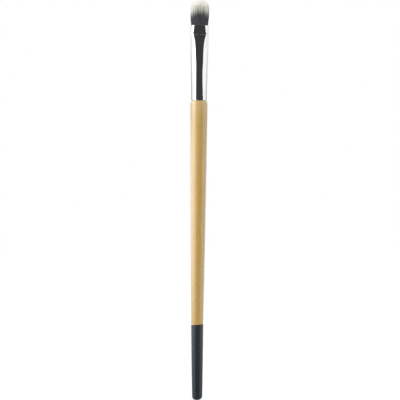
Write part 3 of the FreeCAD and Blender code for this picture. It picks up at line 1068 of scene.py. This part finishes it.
class BRUSH_OT_stage(bpy.types.Operator):
    """Set up camera, light panels, dark cards and the pale floor"""

    bl_idname = "brush.stage"
    bl_label = "Stage"

    def execute(self, context):
        stage = context.scene.brush_stage
        self.camera(context.scene, stage)
        self.floor(stage)
        self.world(context.scene, stage)
        soft = {"distance": 0.9, "size": (0.9, 0.9)}
        overhead = self.panel("overhead_panel", stage.overhead_radiance, side=-28.0, up=50.0, **soft)
        overhead.visible_glossy = False
        fill = self.panel("fill_panel", stage.fill_radiance, side=60.0, up=55.0, **soft)
        fill.visible_glossy = False
        low = {"side": -88.0, "distance": 0.55}
        self.panel("left_panel", stage.left_radiance, up=7.0, size=(1.0, 0.38), **low)
        self.panel("high_left_panel", stage.high_radiance, up=17.0, size=(1.0, 0.36), **low)
        self.front_card(stage)
        self.floor_card(stage)
        self.back_cards(stage)
        context.scene.view_settings.view_transform = "Standard"
        return {"FINISHED"}

    def camera(self, scene, stage):
        """A long lens straight in front, turned by the lean that the brush has in the picture."""
        eye = bpy.data.cameras.new("camera")
        eye.lens = stage.lens
        eye.sensor_width = 36.0
        eye.clip_end = 50.0
        holder = bpy.data.objects.new("camera", eye)
        scene.collection.objects.link(holder)
        distance = stage.frame_width * stage.lens / eye.sensor_width
        holder.location = (stage.aim_side, -distance, stage.aim_height)
        holder.rotation_euler = (math.pi / 2, -stage.lean, 0.0)
        scene.camera = holder

    def floor(self, stage):
        """A pale floor that takes the shadow; it is white to the camera, and metal mirrors it grey nearby."""
        corners = [(-1, -1), (1, -1), (1, 1), (-1, 1)]
        piece = plate("floor", [(x * FLOOR_HALF, y * FLOOR_HALF, 0.0) for x, y in corners])
        material, tree, shader = new_material("pale_floor")
        feed(tree, shader, Base_Color=opaque(stage.floor), Roughness=0.9, Specular_IOR_Level=0.0)
        place = put(tree, "ShaderNodeTexCoord").outputs["Object"]
        away = vector_math(tree, "LENGTH", {0: place}, "Value")
        camera = put(tree, "ShaderNodeLightPath").outputs["Is Camera Ray"]
        mirrored = remap(tree, away, 0.1, 0.9, 0.35, 1.0)
        level = calculate(tree, "MAXIMUM", times(tree, camera, FLOOR_WHITE), mirrored)
        white = put(tree, "ShaderNodeEmission", {"Color": WHITE, "Strength": level}).outputs[0]
        part = times(tree, seen_directly(tree), remap(tree, away, 0.1, 0.6, 0.85, 1.0))
        mixed = put(tree, "ShaderNodeMixShader", {0: part, 1: shader.outputs[0], 2: white}).outputs[0]
        tree.links.new(mixed, tree.nodes["Material Output"].inputs["Surface"])
        piece.data.materials.append(material)

    def world(self, scene, stage):
        """A white room, dimmer as light than it looks."""
        world = bpy.data.worlds.new("white_room")
        world.use_nodes = True
        tree = world.node_tree
        background = tree.nodes["Background"]
        background.inputs["Color"].default_value = WHITE
        strength = remap(tree, seen_directly(tree), 0.0, 1.0, stage.ambient, 1.0)
        tree.links.new(strength, background.inputs["Strength"])
        scene.world = world

    def panel(self, name, radiance, side, up, distance, size):
        """A light panel that faces the ferrule, by its degrees to the right and up, and its distance."""
        light = bpy.data.lights.new(name, "AREA")
        light.shape = "RECTANGLE"
        light.size = size[0]
        light.size_y = size[1]
        light.energy = radiance * math.pi * size[0] * size[1]
        holder = bpy.data.objects.new(name, light)
        bpy.context.scene.collection.objects.link(holder)
        holder.visible_camera = False
        side = math.radians(side)
        up = math.radians(up)
        head = Vector((0.0, 0.0, (FERRULE_FOOT + MOUTH) / 2))
        away = Vector((math.sin(side) * math.cos(up), -math.cos(side) * math.cos(up), math.sin(up)))
        holder.location = head + away * distance
        holder.rotation_euler = away.to_track_quat("Z", "Y").to_euler()
        return holder

    def front_card(self, stage):
        """A dark card before the brush, narrower where it mirrors in the wood than elsewhere."""
        left = [
            (CARD_LEFT, 0.0),
            (CARD_LEFT, DIP_LINE),
            (-0.026, DIP_LINE),
            (-0.012, FERRULE_FOOT),
            (-0.063, FERRULE_FOOT),
            (-0.062, FERRULE_FOOT + 0.006),
            (-0.0595, FERRULE_FOOT + 0.0105),
            (-0.0555, FERRULE_FOOT + 0.0165),
            (-0.0645, FERRULE_FOOT + 0.021),
            (-0.069, FERRULE_FOOT + 0.035),
            (-0.069, FERRULE_FOOT + 0.05),
            (-0.060, FERRULE_FOOT + 0.065),
            (-0.060, CARD_TOP),
        ]
        right = [
            (CARD_RIGHT, 0.0),
            (CARD_RIGHT, FERRULE_FOOT),
            (0.118, FERRULE_FOOT),
            (0.088, FERRULE_FOOT + 0.003),
            (0.071, FERRULE_FOOT + 0.0053),
            (0.0615, FERRULE_FOOT + 0.010),
            (0.0622, FERRULE_FOOT + 0.013),
            (0.0695, FERRULE_FOOT + 0.017),
            (0.073, CARD_TOP),
        ]
        outline = [(x, -stage.card_distance, z) for x, z in right + left[::-1]]
        self.reflection_only_glow(plate("dark_front_card", outline), CARD_LEVEL)

    def floor_card(self, stage):
        """A dark wedge on the floor, from the tail to the front card."""
        far = -stage.card_distance
        near = -0.0015
        half_tip = 0.0005
        lift = 0.00001
        corners = [(CARD_LEFT, far), (CARD_RIGHT, far), (half_tip, near), (-half_tip, near)]
        self.reflection_only_glow(plate("dark_floor_card", [(x, y, lift) for x, y in corners]), CARD_LEVEL)

    def back_cards(self, stage):
        """Grey cards bent around behind the ferrule on both sides, which draw its outline on the white."""
        turns = steps_between(94, 178, 6)
        heights = steps_between(FERRULE_FOOT - 0.0033, MOUTH + 0.02, 0.003)
        lip_turns = steps_between(72, 176, 6)
        lip_heights = steps_between(MOUTH - 0.0075, MOUTH + 0.045, 0.003)
        lip_levels = [LIP_LEVEL] * (len(lip_turns) * len(lip_heights))
        for name, side, depth in (("left", -1, 0.66), ("right", 1, 0.58)):
            levels = [1.0 - self.outline_shade(depth, turn, height) for turn in turns for height in heights]
            self.bent_card(f"grey_{name}_card", stage.far_bend, side, turns, heights, levels)
            self.bent_card(f"grey_{name}_lip_card", stage.near_bend, side, lip_turns, lip_heights, lip_levels)

    def outline_shade(self, depth, turn, height):
        """How dark a card behind the ferrule is: less towards the mouth and to both sides of its middle."""
        rise = height - FERRULE_FOOT
        deep = depth - OUTLINE_FADE_PER_METRE * min(rise, OUTLINE_FADE_TOP)
        deep *= 1 - OUTLINE_MOUTH_LOSS * smooth_step(OUTLINE_FADE_TOP, OUTLINE_MOUTH_TOP, rise)
        return deep * math.exp(-(((turn - OUTLINE_MIDDLE) / OUTLINE_REACH) ** 2))

    def bent_card(self, name, bend, side, turns, heights, levels):
        """A card around the ferrule, by degrees from the camera to one side, with a level for each point."""
        points = []
        faces = []
        rows = len(heights)
        for turn in turns:
            away = math.radians(turn)
            for height in heights:
                points.append((side * bend * math.sin(away), -bend * math.cos(away), height))
        for column in range(len(turns) - 1):
            for row in range(rows - 1):
                first = column * rows + row
                faces.append((first, first + rows, first + rows + 1, first + 1))
        piece = plate(name, points, faces)
        piece.data.attributes.new("level", "FLOAT", "POINT").data.foreach_set("value", levels)
        self.reflection_only_glow(piece)

    def reflection_only_glow(self, piece, level=None):
        """A glow that only shows in reflections on glossy surfaces, as painted reflection; without a level,
        each point has its own.
        """
        material, tree, shader = new_material(piece.name)
        if level is None:
            level = put(tree, "ShaderNodeAttribute", attribute_name="level").outputs["Fac"]
        grey = put(tree, "ShaderNodeEmission", {"Color": WHITE, "Strength": level}).outputs[0]
        tree.links.new(grey, tree.nodes["Material Output"].inputs["Surface"])
        piece.data.materials.append(material)
        piece.visible_camera = False
        piece.visible_diffuse = False
        piece.visible_shadow = False
        piece.visible_transmission = False


class BRUSH_PT_pieces(bpy.types.Panel):
    """Lists the pieces of the brush and their settings"""

    bl_idname = "BRUSH_PT_pieces"
    bl_label = "Eyeshadow brush"
    bl_space_type = "VIEW_3D"
    bl_region_type = "UI"
    bl_category = "Brush"

    def draw(self, context):
        for operator in OPERATORS:
            self.layout.operator(operator.bl_idname, text=operator.bl_label)
        for name, settings in SETTINGS.items():
            box = self.layout.box()
            for label in settings.__annotations__:
                box.prop(getattr(context.scene, name), label)


SETTINGS = {
    "brush_handle": HandleSettings,
    "brush_dip": DipSettings,
    "brush_ferrule": FerruleSettings,
    "brush_hair": HairSettings,
    "brush_stage": StageSettings,
}

OPERATORS = [
    BRUSH_OT_stage,
    BRUSH_OT_handle,
    BRUSH_OT_dip,
    BRUSH_OT_ferrule,
    BRUSH_OT_hair,
    BRUSH_OT_inner_pieces,
]


def register():
    for name, settings in SETTINGS.items():
        bpy.utils.register_class(settings)
        setattr(bpy.types.Scene, name, PointerProperty(type=settings))
    for operator in OPERATORS:
        bpy.utils.register_class(operator)
    bpy.utils.register_class(BRUSH_PT_pieces)


def unregister():
    bpy.utils.unregister_class(BRUSH_PT_pieces)
    for operator in reversed(OPERATORS):
        bpy.utils.unregister_class(operator)
    for name, settings in SETTINGS.items():
        delattr(bpy.types.Scene, name)
        bpy.utils.unregister_class(settings)


def main():
    register()
    bpy.ops.brush.stage()
    bpy.ops.brush.handle()
    bpy.ops.brush.dip()
    bpy.ops.brush.ferrule()
    bpy.ops.brush.hair()
    bpy.ops.brush.inner_pieces()


if __name__ == "__main__":
    main()
